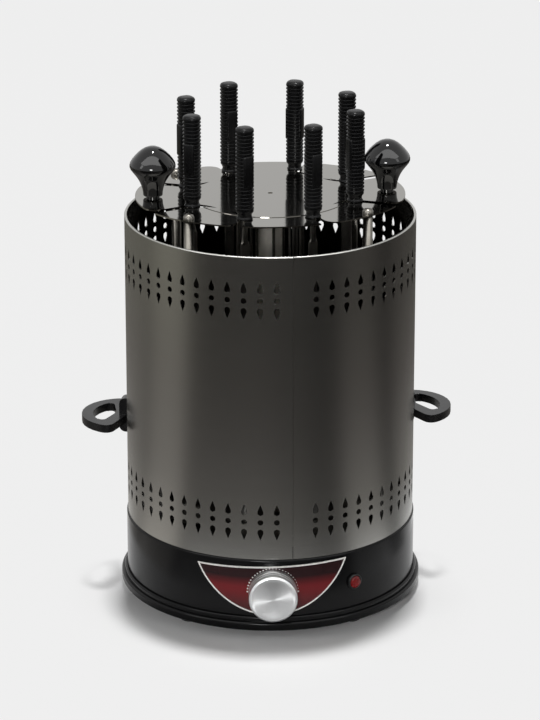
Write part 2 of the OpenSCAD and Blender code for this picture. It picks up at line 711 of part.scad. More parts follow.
module frame_screws() {
  color("#9d9fa0") {
    for (a = foot_turns) at(a, foot_ring_r, 3.6 - 2.6) {
      cylinder(r = 3.6, h = 2.4);
      cylinder(r = 1.5, h = 20);
    }
    for (a = post_turns) at(a + unit_turn, post_ring_r, gear_plate_z - 2.5) {
      cylinder(r = 3.6, h = 2.4);
      cylinder(r = 1.5, h = 15);
    }
    for (a = boss_turns) at(a, boss_ring_r, drive_plane - 10) {
      cylinder(r = 1.5, h = 11);
      translate([0, 0, 10.1]) cylinder(r = 3.6, h = 2.4);
    }
    for (a = lift_turns) at(a + unit_turn, lift_ring_r, plate_under - 3.2) {
      cylinder(r = 4.6, h = 3.1);
      cylinder(r = lift_bolt_r, h = 17);
    }
  }
}

// ---- casing ----

function drop(len, r, n = 4) = let (d = len - r, a = acos(r / d))
  concat([[0, d]], [for (i = [0:n]) let (t = 90 + a + (360 - 2 * a) * i / n)
    r * [cos(t), sin(t)]]);

module hole_column() {
  for (s = [0, 180]) rotate([0, 0, s]) translate([0, perf_reach - (drop_len - drop_w / 2)])
    polygon(drop(drop_len, drop_w / 2));
  circle(d = dot_d, $fn = 8);
}

// one half shell; side 1 is the right one, side -1 the left one
module casing_half(side) {
  start = seam_edge + (side > 0 ? 0 : 180);
  color("#6f6c67") difference() {
    union() {
      at(start + lap_gap - 90) rotate_extrude(angle = 180 - lap_gap, $fn = 180)
        polygon([[casing_in, casing_z], [casing_r, casing_z], [casing_r, casing_top - 0.8],
          [casing_r - 0.8, casing_top], [casing_in - hem_t + 0.6, casing_top],
          [casing_in - hem_t, casing_top - 0.6], [casing_in - hem_t, casing_top - hem_h + 0.6],
          [casing_in - hem_t + 0.6, casing_top - hem_h], [casing_in, casing_top - hem_h]]);
      at(start - tongue_turn - 90)
        rotate_extrude(angle = tongue_turn + tongue_lap + lap_gap, $fn = 180)
        polygon([[casing_in - casing_t - fit_gap, casing_z + lip_h + 4],
          [casing_in - fit_gap, casing_z + lip_h + 4], [casing_in - fit_gap, casing_top - hem_h - 1],
          [casing_in - casing_t - fit_gap, casing_top - hem_h - 1]]);
      at(start + lap_gap - 90) rotate_extrude(angle = tongue_lap, $fn = 180)
        polygon([[casing_in - casing_t, casing_z + lip_h + 4],
          [casing_in + 0.3, casing_z + lip_h + 4], [casing_in + 0.3, casing_top - hem_h - 1],
          [casing_in - casing_t, casing_top - hem_h - 1]]);
    }
    for (i = [0:perf_columns - 1], z = [casing_z + perf_low, casing_top - perf_high])
      outward(casing_turn + side * (perf_gap / 2 + i * perf_pitch), casing_r - 4, z)
        linear_extrude(8) hole_column();
    for (z = [-screw_step, screw_step])
      outward(handle_turns[side > 0 ? 1 : 0], casing_r - 4, bar_z + z) cylinder(r = 1.7, h = 8);
  }
}

module casing_right() {
  casing_half(1);
}

module casing_left() {
  casing_half(-1);
}

module loop_outline() {
  c = (loop_reach + 93.45) / 2;
  ro = loop_reach - c;
  inner = loop_reach - loop_band;
  ci = inner - 28;
  difference() {
    polygon(rounded(concat([[casing_r + 2, 4.5], [casing_r + 10.5, loop_half_w + 1]],
      [for (t = [66:-11:-66]) [c, 0] + ro * [cos(t), sin(t)]],
      [[casing_r + 10.5, -loop_half_w - 1], [casing_r + 2, -4.5]]),
      concat([0, 7], [for (t = [66:-11:-66]) 0], [7, 0]), 5));
    polygon(rounded(concat([[casing_r + 11.7, 0], [casing_r + 19.8, -25.5]],
      [for (t = [-48:12:48]) [ci, 0] + 28 * [cos(t), sin(t)]], [[casing_r + 19.8, 25.5]]),
      concat([2.5, 3.5], [for (t = [-48:12:48]) 0], [3.5]), 4));
  }
}

module side_handle(i) {
  color("#1a1a1a") at(handle_turns[i]) difference() {
    union() {
      rotate([0, 0, -90]) translate([0, 0, handle_z - loop_t / 2]) linear_extrude(loop_t)
        loop_outline();
      translate([-bar_w / 2, 0, bar_z]) rotate([90, 0, 90]) linear_extrude(bar_w)
        polygon(rounded([[-casing_r + 2, bar_h / 2], [-casing_r - bar_t, bar_h / 2],
          [-casing_r - bar_t, -bar_h / 2], [-casing_r + 2, -bar_h / 2]], [0, 5, 5, 0]));
    }
    cylinder(r = casing_r + fit_gap, h = 200, $fn = 180);
    for (z = [-screw_step, screw_step]) translate([0, -casing_r - bar_t + 2, bar_z + z])
      rotate([-90, 0, 0]) cylinder(r = 1.3, h = 10);
  }
}

module side_handle_left() {
  side_handle(0);
}

module side_handle_right() {
  side_handle(1);
}

module casing_fasteners() {
  color("#b8b8b6") {
    for (a = handle_turns, z = [-screw_step, screw_step]) outward(a, casing_in - 1.7, bar_z + z) {
      cylinder(r = 3.4, h = 1.5);
      cylinder(r = 1.2, h = 8);
    }
  }
}

// ---- skewers ----

module skewer_frame(k) {
  at(skewer_first + skewer_step * (k - 1), skewer_ring_r, 0)
    rotate([0, 0, skewer_turns[k - 1]]) children();
}

module skewer_blade(k) {
  w = blade_w / 2;
  color("#c2c2bf") skewer_frame(k) {
    translate([0, blade_t / 2, 0]) rotate([90, 0, 0]) linear_extrude(blade_t)
      polygon([[-0.6, tip_z], [0.6, tip_z], [w, tip_z + tip_len], [w, blade_top - 4],
        [shank_d / 2, blade_top], [-shank_d / 2, blade_top], [-w, blade_top - 4],
        [-w, tip_z + tip_len]]);
    translate([0, 0, blade_top - shank_lap])
      cylinder(r = shank_d / 2, h = grip_z + grip_bore - 0.5 - blade_top + shank_lap);
  }
}

module skewer_handle(k) {
  w = grip_w / 2;
  color("#151515") skewer_frame(k) translate([0, 0, grip_z]) difference() {
    union() {
      cylinder(r1 = grip_neck_r, r2 = w - 0.9, h = grip_neck);
      translate([0, 0, grip_neck - 0.01]) linear_extrude(grip_len - grip_neck - 1.5)
        polygon(box_outline(grip_w - 2 * rib_depth, grip_w - 2 * rib_depth, grip_r - 0.6));
      translate([0, 0, grip_neck - 0.01]) linear_extrude(2)
        polygon(box_outline(grip_w - 0.8, grip_w - 0.8, grip_r - 0.2));
      for (i = [0:rib_count - 1]) translate([0, 0, grip_rib_z + i * rib_pitch])
        linear_extrude(1.9) polygon(box_outline(grip_w, grip_w, grip_r));
      translate([-w / 2, -w + 0.3, grip_rib_z + grip_band_ribs * rib_pitch - 1])
        cube([w, grip_w - 0.6, (rib_count - 2 * grip_band_ribs) * rib_pitch + 1]);
      translate([0, 0, grip_len - 4]) linear_extrude(1.6)
        polygon(box_outline(grip_w, grip_w, grip_r));
      translate([0, 0, grip_len - 2.5]) linear_extrude(1.2)
        polygon(box_outline(grip_w - 0.8, grip_w - 0.8, grip_r - 0.2));
      translate([0, 0, grip_len - 1.4]) linear_extrude(0.9)
        polygon(box_outline(grip_w - 2.4, grip_w - 2.4, grip_r - 0.8));
      translate([0, 0, grip_len - 0.6]) linear_extrude(0.6)
        polygon(box_outline(grip_w - 5, grip_w - 5, grip_r - 1.8));
    }
    translate([0, 0, -1]) cylinder(r = shank_d / 2 + run_gap, h = grip_bore + 1);
  }
}

base_housing();
bottom_cover();
rubber_feet();
control_panel();
lamp_bezel();
lamp_lens();
timer_body();
timer_knob();
cooking_deck();
gear_plate();
gear_motor();
motor_pinion();
drive_gear();
centre_hub();
heater_tube();
heater_sockets();
heater_guard();
support_posts();
dome_nuts();
top_plate();
lift_knobs();
cord_gland();
frame_screws();
casing_left();
casing_right();
side_handle_left();
side_handle_right();
casing_fasteners();
spindle(1);  // spindle_1
spindle(2);  // spindle_2
spindle(3);  // spindle_3
spindle(4);  // spindle_4
spindle(5);  // spindle_5
spindle(6);  // spindle_6
spindle(7);  // spindle_7
spindle(8);  // spindle_8
drip_cup(1);  // drip_cup_1
drip_cup(2);  // drip_cup_2
drip_cup(3);  // drip_cup_3
drip_cup(4);  // drip_cup_4
drip_cup(5);  // drip_cup_5
drip_cup(6);  // drip_cup_6
drip_cup(7);  // drip_cup_7
drip_cup(8);  // drip_cup_8
skewer_blade(1);  // skewer_blade_1
skewer_blade(2);  // skewer_blade_2
skewer_blade(3);  // skewer_blade_3
skewer_blade(4);  // skewer_blade_4
skewer_blade(5);  // skewer_blade_5
skewer_blade(6);  // skewer_blade_6
skewer_blade(7);  // skewer_blade_7
skewer_blade(8);  // skewer_blade_8
skewer_handle(1);  // skewer_handle_1
skewer_handle(2);  // skewer_handle_2
skewer_handle(3);  // skewer_handle_3
skewer_handle(4);  // skewer_handle_4
skewer_handle(5);  // skewer_handle_5
skewer_handle(6);  // skewer_handle_6
skewer_handle(7);  // skewer_handle_7
skewer_handle(8);  // skewer_handle_8
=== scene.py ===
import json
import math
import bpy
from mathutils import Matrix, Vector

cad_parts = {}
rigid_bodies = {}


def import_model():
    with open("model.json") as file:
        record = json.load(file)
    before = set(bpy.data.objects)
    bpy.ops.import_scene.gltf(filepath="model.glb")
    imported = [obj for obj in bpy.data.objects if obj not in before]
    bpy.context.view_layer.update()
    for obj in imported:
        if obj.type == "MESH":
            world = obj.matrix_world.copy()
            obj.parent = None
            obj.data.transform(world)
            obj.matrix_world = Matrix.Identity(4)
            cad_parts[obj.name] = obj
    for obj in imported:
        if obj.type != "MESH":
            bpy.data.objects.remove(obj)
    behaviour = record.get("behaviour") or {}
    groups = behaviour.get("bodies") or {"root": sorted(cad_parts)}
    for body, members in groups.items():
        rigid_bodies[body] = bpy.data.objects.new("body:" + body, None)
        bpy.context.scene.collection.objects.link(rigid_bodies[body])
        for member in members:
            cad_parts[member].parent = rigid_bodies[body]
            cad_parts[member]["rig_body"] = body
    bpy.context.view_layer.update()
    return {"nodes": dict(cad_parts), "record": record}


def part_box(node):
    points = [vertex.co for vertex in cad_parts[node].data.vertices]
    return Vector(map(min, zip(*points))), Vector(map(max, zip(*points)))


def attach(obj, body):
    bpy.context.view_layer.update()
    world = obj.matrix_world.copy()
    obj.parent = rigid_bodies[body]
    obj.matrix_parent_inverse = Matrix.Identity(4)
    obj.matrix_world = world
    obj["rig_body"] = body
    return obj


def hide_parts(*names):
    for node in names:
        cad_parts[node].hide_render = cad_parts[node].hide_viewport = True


bl_info = {
    "name": "Vertical Skewer Grill",
    "version": (1, 0, 0),
    "blender": (4, 5, 0),
    "location": "View3D > Sidebar > Grill",
    "description": "Finishes and details for a vertical electric grill with turning skewers",
    "category": "Object",
}

import bmesh
import bpy
from mathutils import Matrix, Vector

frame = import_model()

MM = 0.001
WHITE = (1, 1, 1, 1)

# ---- places, as in the solids: angles in degrees from the front, lengths in mm ----

UNIT_TURN = 6.0
SKEWERS = range(1, 9)
FIRST_SKEWER = UNIT_TURN + 22.5
SKEWER_STEP = 45
# how far each grip is turned about itself
SKEWER_TURNS = (5, 42, 80, 88, 0, 45, 38, 50)
LIFT_RING_R = 96.5
LAMP_TURN, LAMP_SEAT_R, LAMP_Z = 34.6, 107, 40.6
KNOB_Z = 40.0
# the panel: the outside of its sheet, its round edge, that edge's middle and its straight top
# edge; then its turn round the base and its tilt about the knob
PANEL_FACE_R = 121.85
PANEL_R, PANEL_MIDDLE, PANEL_TOP = 64.5, 84.0, 62.6
PANEL_TURN, PANEL_TILT = 1.0, 1.5
# a layer of print on it
INK = 0.03
# a grip's width, the ribs along it, and the pitches that its smooth panels take
GRIP_W, RIBS, SMOOTH_PITCHES = 14, 21, 9


# ---- small helpers ----


def linear(code):
    """An sRGB hex colour as linear RGBA."""
    parts = [int(code[i:i + 2], 16) / 255 for i in (1, 3, 5)]
    return [c / 12.92 if c <= 0.04045 else ((c + 0.055) / 1.055) ** 2.4 for c in parts] + [1.0]


def turned(angle, radius, height):
    """A place at an angle from the front, a radius and a height, as in the solids, in mm."""
    return Matrix.Rotation(math.radians(angle), 4, "Z") @ Matrix.Translation(
        Vector((0, -radius, height)) * MM)


def outward(angle, radius, height):
    """The same place, with local +Z pointing away from the middle of the grill."""
    return turned(angle, radius, height) @ Matrix.Rotation(math.radians(90), 4, "X")


def new_object(bm, name, *materials):
    """A bmesh as an object of the scene."""
    mesh = bpy.data.meshes.new(name)
    bm.to_mesh(mesh)
    bm.free()
    for material in materials:
        mesh.materials.append(material)
    made = bpy.data.objects.new(name, mesh)
    bpy.context.scene.collection.objects.link(made)
    return made


def piece(bm, name, body, slot, *materials, crease=35, replaces=()):
    """Turns a bmesh into a finished piece that rides on a body: smooth, but for edges that turn
    by more than the crease."""
    made = new_object(bm, name, *materials)
    made.data.polygons.foreach_set("use_smooth", [True] * len(made.data.polygons))
    made.data.set_sharp_from_angle(angle=math.radians(crease))
    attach(made, body)
    if replaces:
        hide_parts(*replaces)
    return made


def body_of(node):
    """The body that a node of the frame rides on."""
    return frame["nodes"][node]["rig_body"]


def slot_of(node):
    """The material slot that the record gives a node."""
    return next(s["material_slot"] for s in frame["record"]["subparts"] if s["node"] == node)


def copy_of(node):
    """A bmesh of a node of the frame with its loose triangles joined."""
    joined = 2e-6
    bm = bmesh.new()
    bm.from_mesh(frame["nodes"][node].data)
    bmesh.ops.remove_doubles(bm, verts=bm.verts, dist=joined)
    bmesh.ops.dissolve_degenerate(bm, edges=bm.edges, dist=joined)
    for face in bm.faces:
        face.material_index = 0
    return bm


def true_normals(mesh):
    """Gives upright round walls the normals of a true cylinder and level faces those of a plane,
    so that reflections run unbroken."""
    normals = [corner.vector.copy() for corner in mesh.corner_normals]
    for face in mesh.polygons:
        out = Vector((face.center.x, face.center.y, 0)).normalized()
        side = face.normal.dot(out)
        level = abs(face.normal.z) > 0.9995
        upright = abs(side) > 0.995
        for loop in face.loop_indices:
            co = mesh.vertices[mesh.loops[loop].vertex_index].co
            if level:
                normals[loop] = face.normal.copy()
            elif upright:
                normals[loop] = Vector((co.x, co.y, 0)).normalized() * math.copysign(1, side)
    mesh.normals_split_custom_set(normals)


def dressed(node, *materials, crease=30, round_about_z=False, inner=None):
    """A joined, smooth copy of a node. Faces for which inner is true take the second material."""
    if node not in frame["nodes"]:
        raise KeyError(f"the frame has no node {node}, so it can't be dressed")
    bm = copy_of(node)
    if inner:
        for face in bm.faces:
            face.material_index = int(inner(face))
    made = piece(bm, node + "_skin", body_of(node), slot_of(node), *materials, crease=crease,
                 replaces=(node,))
    if round_about_z:
        true_normals(made.data)
    return made


def merged(target, source):
    """Adds one bmesh to another."""
    mesh = bpy.data.meshes.new("part")
    source.to_mesh(mesh)
    source.free()
    target.from_mesh(mesh)
    bpy.data.meshes.remove(mesh)


def block(across, deep, tall):
    """A box about the origin, as a bmesh."""
    bm = bmesh.new()
    bmesh.ops.create_cube(bm, size=1.0)
    bmesh.ops.scale(bm, vec=(across, deep, tall), verts=bm.verts)
    return bm


def rounded(bm, edges, radius, segments=4):
    """Rounds edges of a bmesh."""
    bmesh.ops.bevel(bm, geom=edges, offset=radius, offset_type="OFFSET", segments=segments,
                    profile=0.5, affect="EDGES", material=-1)


def cut(bm, point, normal, clear_outer=False):
    """Cuts a bmesh along a plane."""
    bmesh.ops.bisect_plane(bm, geom=bm.verts[:] + bm.edges[:] + bm.faces[:], dist=1e-7,
                           plane_co=point, plane_no=normal, clear_outer=clear_outer)


def spin_profile(profile, place, steps=96):
    """A turned shape: (radius, height) pairs in mm, spun about the place's Z."""
    bm = bmesh.new()
    verts = [bm.verts.new((r * MM, 0, z * MM)) for r, z in profile]
    edges = [bm.edges.new(pair) for pair in zip(verts, verts[1:])]
    bmesh.ops.spin(bm, geom=verts + edges, cent=(0, 0, 0), axis=(0, 0, 1),
                   angle=math.radians(360), steps=steps, use_merge=True, use_duplicate=False)
    bmesh.ops.remove_doubles(bm, verts=bm.verts, dist=1e-6)
    bmesh.ops.recalc_face_normals(bm, faces=bm.faces)
    bmesh.ops.transform(bm, matrix=place, verts=bm.verts)
    return bm


# ---- materials ----


def add(tree, kind, inputs=None, **settings):
    """Adds a node with its settings. An input is a value, a socket, or a node, whose first
    output in use then feeds it."""
    node = tree.nodes.new(kind)
    for name, value in settings.items():
        if name == "stops":
            # a ramp starts with two stops, so its two ends come first
            for at, (place, colour) in enumerate(value):
                ramp = node.color_ramp.elements
                stop = ramp[at] if at < 2 else ramp.new(place)
                stop.position, stop.color = place, colour
        else:
            setattr(node, name, value)
    for name, value in (inputs or {}).items():
        if isinstance(value, bpy.types.Node):
            value = next(socket for socket in value.outputs if socket.enabled)
        if isinstance(value, bpy.types.NodeSocket):
            tree.links.new(value, node.inputs[name])
        else:
            node.inputs[name].default_value = value
    return node


def new_material(name, viewport):
    """An empty material and its node tree."""
    made = bpy.data.materials.new(name)
    made.use_nodes = True
    made.diffuse_color = viewport
    made.node_tree.nodes.clear()
    return made, made.node_tree


def object_place(tree, per_metre=1, location=(0, 0, 0)):
    """Object coordinates, with this many cells of a pattern to the metre: one number for all
    the axes, or one for each."""
    scale = per_metre if isinstance(per_metre, tuple) else (per_metre,) * 3
    coordinates = add(tree, "ShaderNodeTexCoord").outputs["Object"]
    return add(tree, "ShaderNodeMapping", {"Vector": coordinates, "Scale": scale,
               "Location": location})


def cloudy(tree, per_metre, detail):
    """A cloudy pattern that stays on its piece, mostly 0.3 to 0.7."""
    return add(tree, "ShaderNodeTexNoise", {"Vector": object_place(tree, per_metre),
               "Scale": 1.0, "Detail": detail, "Roughness": 0.55})


def surface(tree, inputs, wear=None, colours=(), most=1.0, rough=(), relief=()):
    """The principled surface. wear is a cloudy pattern: it turns the first of colours to the
    second, or only the share most of the way there, and takes the roughness from the low end of
    rough to the high one. relief is a pattern, its strength as a bump, and its height in mm."""
    inputs = dict(inputs)
    if colours:
        share = add(tree, "ShaderNodeMapRange", {"Value": wear, "From Min": 0.3, "From Max": 0.7,
                    "To Max": most})
        inputs["Base Color"] = add(tree, "ShaderNodeMix", {"Factor": share, 6: colours[0],
                                   7: colours[1]}, data_type="RGBA")
    if rough:
        inputs["Roughness"] = add(tree, "ShaderNodeMapRange", {"Value": wear, "From Min": 0.3,
                                  "From Max": 0.7, "To Min": rough[0], "To Max": rough[1]})
    if relief:
        inputs["Normal"] = add(tree, "ShaderNodeBump", {"Height": relief[0],
                               "Strength": relief[1], "Distance": relief[2] * MM})
    shader = add(tree, "ShaderNodeBsdfPrincipled", inputs)
    add(tree, "ShaderNodeOutputMaterial", {"Surface": shader})


def brushed_steel(name, colour, worn):
    """Stainless sheet, brushed round the casing: its fine lines pull every reflection out upwards
    and downwards, so that the painted reflections of the ring round the grill show in it as
    upright light and dark columns."""
    made, tree = new_material(name, colour)
    # brushing lines are 0.05 mm apart; drawn at about 0.4 mm so that they show
    lines = cloudy(tree, (30, 30, 2600), detail=2.0)
    tangent = add(tree, "ShaderNodeTangent", direction_type="RADIAL", axis="Z")
    surface(tree, {"Metallic": 1.0, "Anisotropic": 0.7, "Tangent": tangent}, wear=lines,
            colours=(colour, worn), rough=(0.24, 0.27), relief=(lines, 0.01, 0.03))
    return made


def polished_steel(name, colour, rough):
    """Mirror-polished sheet: clear reflections, a faint haze where it was wiped, and the slight
    waviness of thin sheet."""
    made, tree = new_material(name, colour)
    # the haze clouds over at about 70 mm, and the sheet waves at about 110 mm
    haze = cloudy(tree, 14, detail=4.0)
    wave = cloudy(tree, 9, detail=1.0)
    surface(tree, {"Base Color": colour, "Metallic": 1.0}, wear=haze, rough=rough,
            relief=(wave, 0.05, 4))
    return made


def plain_steel(name, colour, worn, rough=(0.3, 0.45)):
    """Rolled or zinc-plated steel: a soft grey with a cloudy sheen."""
    made, tree = new_material(name, colour)
    # the clouds of the plating are about 17 mm wide
    cloud = cloudy(tree, 60, detail=5.0)
    surface(tree, {"Metallic": 1.0}, wear=cloud, colours=(colour, worn), rough=rough,
            relief=(cloud, 0.05, 0.2))
    return made


def moulded_plastic(name, colour, rubbed, rough, depth=0.06, shine=0.35):
    """Injection-moulded plastic: a fine spark-eroded grain, and a slightly greyer tone where
    hands and cloths have rubbed it."""
    made, tree = new_material(name, colour)
    # the grain is about 0.1 mm wide; drawn at 0.5 mm so that it shows; the rubbed patches are
    # about 45 mm wide
    grain = cloudy(tree, 2000, detail=2.0)
    wear = cloudy(tree, 22, detail=4.0)
    surface(tree, {"Specular IOR Level": shine}, wear=wear, colours=(colour, rubbed),
            rough=rough, relief=(grain, depth, 0.1))
    return made


def spun_aluminium(name, colour, worn):
    """Aluminium turned on a lathe: fine rings round the knob's own axis, which draw the light
    out into a cone."""
    made, tree = new_material(name, colour)
    low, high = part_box("timer_knob")
    centre = (low + high) / 2
    coordinates = add(tree, "ShaderNodeTexCoord").outputs["Object"]
    place = add(tree, "ShaderNodeVectorMath", {0: coordinates, 1: centre}, operation="SUBTRACT")
    flat = add(tree, "ShaderNodeVectorMath", {0: place, 1: (1, 0, 1)}, operation="MULTIPLY")
    radius = add(tree, "ShaderNodeVectorMath", {0: flat}, operation="LENGTH")
    # tool marks are 0.1 mm apart; drawn at 0.5 mm so that they show
    marks = add(tree, "ShaderNodeMath", {0: radius, 1: 2200.0}, operation="MULTIPLY")
    rings = add(tree, "ShaderNodeTexNoise", {"W": marks, "Detail": 2.0}, noise_dimensions="1D")
    tangent = add(tree, "ShaderNodeTangent", direction_type="RADIAL", axis="Y")
    surface(tree, {"Metallic": 1.0, "Roughness": 0.32, "Anisotropic": 0.9, "Tangent": tangent},
            wear=rings, colours=(colour, worn), relief=(rings, 0.08, 0.1))
    return made


def printed_panel(name, dark, bright):
    """Printed and clear-coated sheet: a deep red that lightens to a band across its middle."""
    made, tree = new_material(name, bright)
    height = add(tree, "ShaderNodeSeparateXYZ", {"Vector": object_place(tree)}).outputs["Z"]
    share = add(tree, "ShaderNodeMapRange", {"Value": height,
                "From Min": (PANEL_MIDDLE - PANEL_R) * MM, "From Max": PANEL_TOP * MM})
    red = add(tree, "ShaderNodeValToRGB", {"Fac": share}, stops=(
        (0.0, dark), (1.0, dark), (0.49, bright), (0.57, bright), (0.78, dark)))
    # the print's dots are 0.2 mm apart; drawn at about 1 mm so that they show
    dots = cloudy(tree, 900, detail=1.0)
    surface(tree, {"Base Color": red, "Roughness": 0.26, "Specular IOR Level": 0.25,
                   "Coat Weight": 0.1, "Coat Roughness": 0.1}, relief=(dots, 0.02, 0.1))
    return made


def printed_white(name, colour):
    """White screen-print ink on the panel: matt, and slightly uneven in its cover."""
    made, tree = new_material(name, colour)
    # the screen's cells are 0.1 mm wide; drawn at about 1.4 mm so that they show
    cover = cloudy(tree, 700, detail=2.0)
    surface(tree, {"Roughness": 0.4}, wear=cover, colours=(colour, linear("#d8d6d2")))
    return made


def red_lens(name, colour):
    """Clear red polycarbonate cap of a neon lamp, with facets of 1.4 mm inside: dark at rest."""
    made, tree = new_material(name, colour)
    facets = add(tree, "ShaderNodeTexVoronoi", {"Vector": object_place(tree, 700)}, feature="F1")
    red = add(tree, "ShaderNodeMix", {"Factor": facets, 6: linear("#a01012"),
              7: linear("#4a0608")}, data_type="RGBA")
    surface(tree, {"Base Color": red, "Roughness": 0.12, "Specular IOR Level": 0.2,
                   "Transmission Weight": 0.15}, relief=(facets, 0.25, 0.5))
    return made


def frosted_quartz(name, colour):
    """Quartz tube, sand-blasted so that it glows evenly: milky, with a soft sheen."""
    made, tree = new_material(name, colour)
    # the blasted pits are 0.1 mm wide; drawn at 0.7 mm so that they show
    frost = cloudy(tree, 1500, detail=2.0)
    surface(tree, {"Base Color": colour, "Roughness": 0.35, "IOR": 1.46,
                   "Transmission Weight": 0.7}, relief=(frost, 0.1, 0.1))
    return made


def fired_ceramic(name, colour, stain):
    """Unglazed steatite: chalky, with light scorch marks about 22 mm wide near the heat."""
    made, tree = new_material(name, colour)
    marks = cloudy(tree, 45, detail=5.0)
    surface(tree, {"Roughness": 0.75}, wear=marks, colours=(colour, stain), most=0.6,
            relief=(marks, 0.08, 0.6))
    return made


FINISHES = {}


def finishes():
    """All the finishes, made once."""
    if not FINISHES:
        c = bpy.context.scene.grill_colours
        FINISHES.update(
            casing=brushed_steel("brushed stainless, casing outside", c.casing,
                                 linear("#aeada9")),
            # the inside's stainless is far darker than bare steel: painted shade for the hollow
            # of the casing
            casing_inside=polished_steel("stainless, casing inside, darkened as painted shade",
                                         linear("#3a3835"), rough=(0.14, 0.22)),
            mirror=polished_steel("mirror-polished stainless", c.plate, rough=(0.05, 0.1)),
            base=moulded_plastic("moulded ABS, satin black", c.plastic, linear("#0d0d0e"),
                                 rough=(0.16, 0.22), depth=0.01, shine=0.15),
            handle=moulded_plastic("moulded phenolic, black", linear("#0c0c0d"),
                                   linear("#161617"), rough=(0.22, 0.34), depth=0.03),
            grip=moulded_plastic("moulded nylon, satin black", linear("#070708"),
                                 linear("#0e0e0f"), rough=(0.24, 0.34), depth=0.04,
                                 shine=0.17),
            knob=moulded_plastic("polished phenolic, black", linear("#050506"),
                                 linear("#0a0a0b"), rough=(0.05, 0.1), depth=0.0, shine=0.5),
            rubber=moulded_plastic("moulded rubber", linear("#1a1a1a"), linear("#242423"),
                                   rough=(0.7, 0.85), depth=0.1),
            trim=moulded_plastic("black polyamide trim", linear("#0e0e0f"), linear("#161616"),
                                 rough=(0.25, 0.35)),
            aluminium=spun_aluminium("spun aluminium", c.knob, linear("#cfd0d1")),
            panel=printed_panel("printed panel, red", c.panel_dark, c.panel_bright),
            ink=printed_white("white screen print", linear("#f2f0ec")),
            lens=red_lens("red polycarbonate", linear("#b01418")),
            quartz=frosted_quartz("frosted quartz", linear("#ece8df")),
            ceramic=fired_ceramic("steatite ceramic", linear("#e2ddd0"), linear("#b7a68c")),
            gear=moulded_plastic("moulded acetal, natural", linear("#d9d3c2"),
                                 linear("#cdc5b0"), rough=(0.4, 0.5), depth=0.02),
            plain=plain_steel("zinc-plated steel", linear("#b3b4b5"), linear("#989a9c")),
            # darker than bare steel: partly a dull drawn finish, partly painted shade for the
            # parts under the plate and inside the casing
            post=plain_steel("drawn steel rod, darkened as painted shade", linear("#7d7a74"), linear("#68655f"),
                             rough=(0.26, 0.36)),
            bright=plain_steel("nickel-plated steel", linear("#dcdad6"), linear("#c6c4bf"),
                               rough=(0.08, 0.16)),
            cup=plain_steel("pressed stainless", linear("#83827e"), linear("#6d6b67"),
                            rough=(0.26, 0.38)),
            coil=plain_steel("oxidised heating wire", linear("#6d5c50"), linear("#4d4038"),
                             rough=(0.45, 0.6)),
        )
    return FINISHES


# ---- sizes and colours that a user would change ----


def size_setting(name, description, value, low, high):
    """A length that the sidebar shows, given in mm."""
    return bpy.props.FloatProperty(name=name, description=description, default=value * MM,
                                   min=low * MM, max=high * MM, subtype="DISTANCE",
                                   unit="LENGTH", precision=4)


def colour_setting(name, description, code):
    """A colour that the sidebar shows, given as sRGB hex."""
    return bpy.props.FloatVectorProperty(name=name, description=description, size=4,
                                         subtype="COLOR", default=linear(code), min=0, max=1)


class GrillSizes(bpy.types.PropertyGroup):
    """Sizes of the pieces that the script models."""
    rib_depth: size_setting("Rib depth", "Depth of the ribs on a grip", 0.9, 0.4, 1.2)
    rib_pitch: size_setting("Rib pitch", "Distance from one rib to the next", 3.05, 2.5, 3.2)
    grip_round: size_setting("Grip rounding", "Rounding of a grip's long edges", 5.6, 1.0, 6.2)
    border: size_setting("Border width", "Width of the panel's white border", 1.3, 0.8, 3.0)
    scale_radius: size_setting("Scale radius", "Radius of the timer's ring of dots", 20.8,
                               20.2, 26.0)
    edge: size_setting("Moulded edge", "Rounding of the side handles' edges", 1.2, 0.3, 2.0)


class GrillColours(bpy.types.PropertyGroup):
    """Colours of the main finishes."""
    casing: colour_setting("Casing", "Brushed stainless of the casing", "#a9a8a4")
    plate: colour_setting("Top plate", "Polished stainless of the top plate", "#95938e")
    plastic: colour_setting("Base", "Black plastic of the base", "#070708")
    knob: colour_setting("Timer knob", "Aluminium of the timer knob", "#e9eaea")
    panel_dark: colour_setting("Panel, dark", "Edges of the printed panel", "#250b0e")
    panel_bright: colour_setting("Panel, bright", "Middle band of the printed panel", "#6e1419")


# ---- pieces ----


class GRILL_OT_casing(bpy.types.Operator):
    """Brushed outside, and polished inside darkened with painted shade, for the two half shells
    """
    bl_idname = "grill.casing"
    bl_label = "Casing"

    def execute(self, context):
        f = finishes()

        def inside(face):
            c = face.calc_center_median()
            return face.normal.dot(Vector((c.x, c.y, 0))) < 0 and abs(face.normal.z) < 0.5

        for node in ("casing_left", "casing_right"):
            dressed(node, f["casing"], f["casing_inside"], round_about_z=True, inner=inside)
        dressed("casing_fasteners", f["bright"])
        return {"FINISHED"}


class GRILL_OT_side_handles(bpy.types.Operator):
    """Rounded edges for the two moulded loop handles"""
    bl_idname = "grill.side_handles"
    bl_label = "Side handles"

    def execute(self, context):
        for node in ("side_handle_left", "side_handle_right"):
            bm = copy_of(node)
            bmesh.ops.dissolve_limit(bm, angle_limit=math.radians(1), verts=bm.verts,
                                     edges=bm.edges)
            made = piece(bm, node + "_skin", "casing", slot_of(node), finishes()["handle"],
                         replaces=(node,))
            bevel = made.modifiers.new("edges", "BEVEL")
            bevel.width = context.scene.grill_sizes.edge
            bevel.segments = 3
            bevel.limit_method = "ANGLE"
            bevel.angle_limit = math.radians(50)
            bevel.harden_normals = True
        return {"FINISHED"}


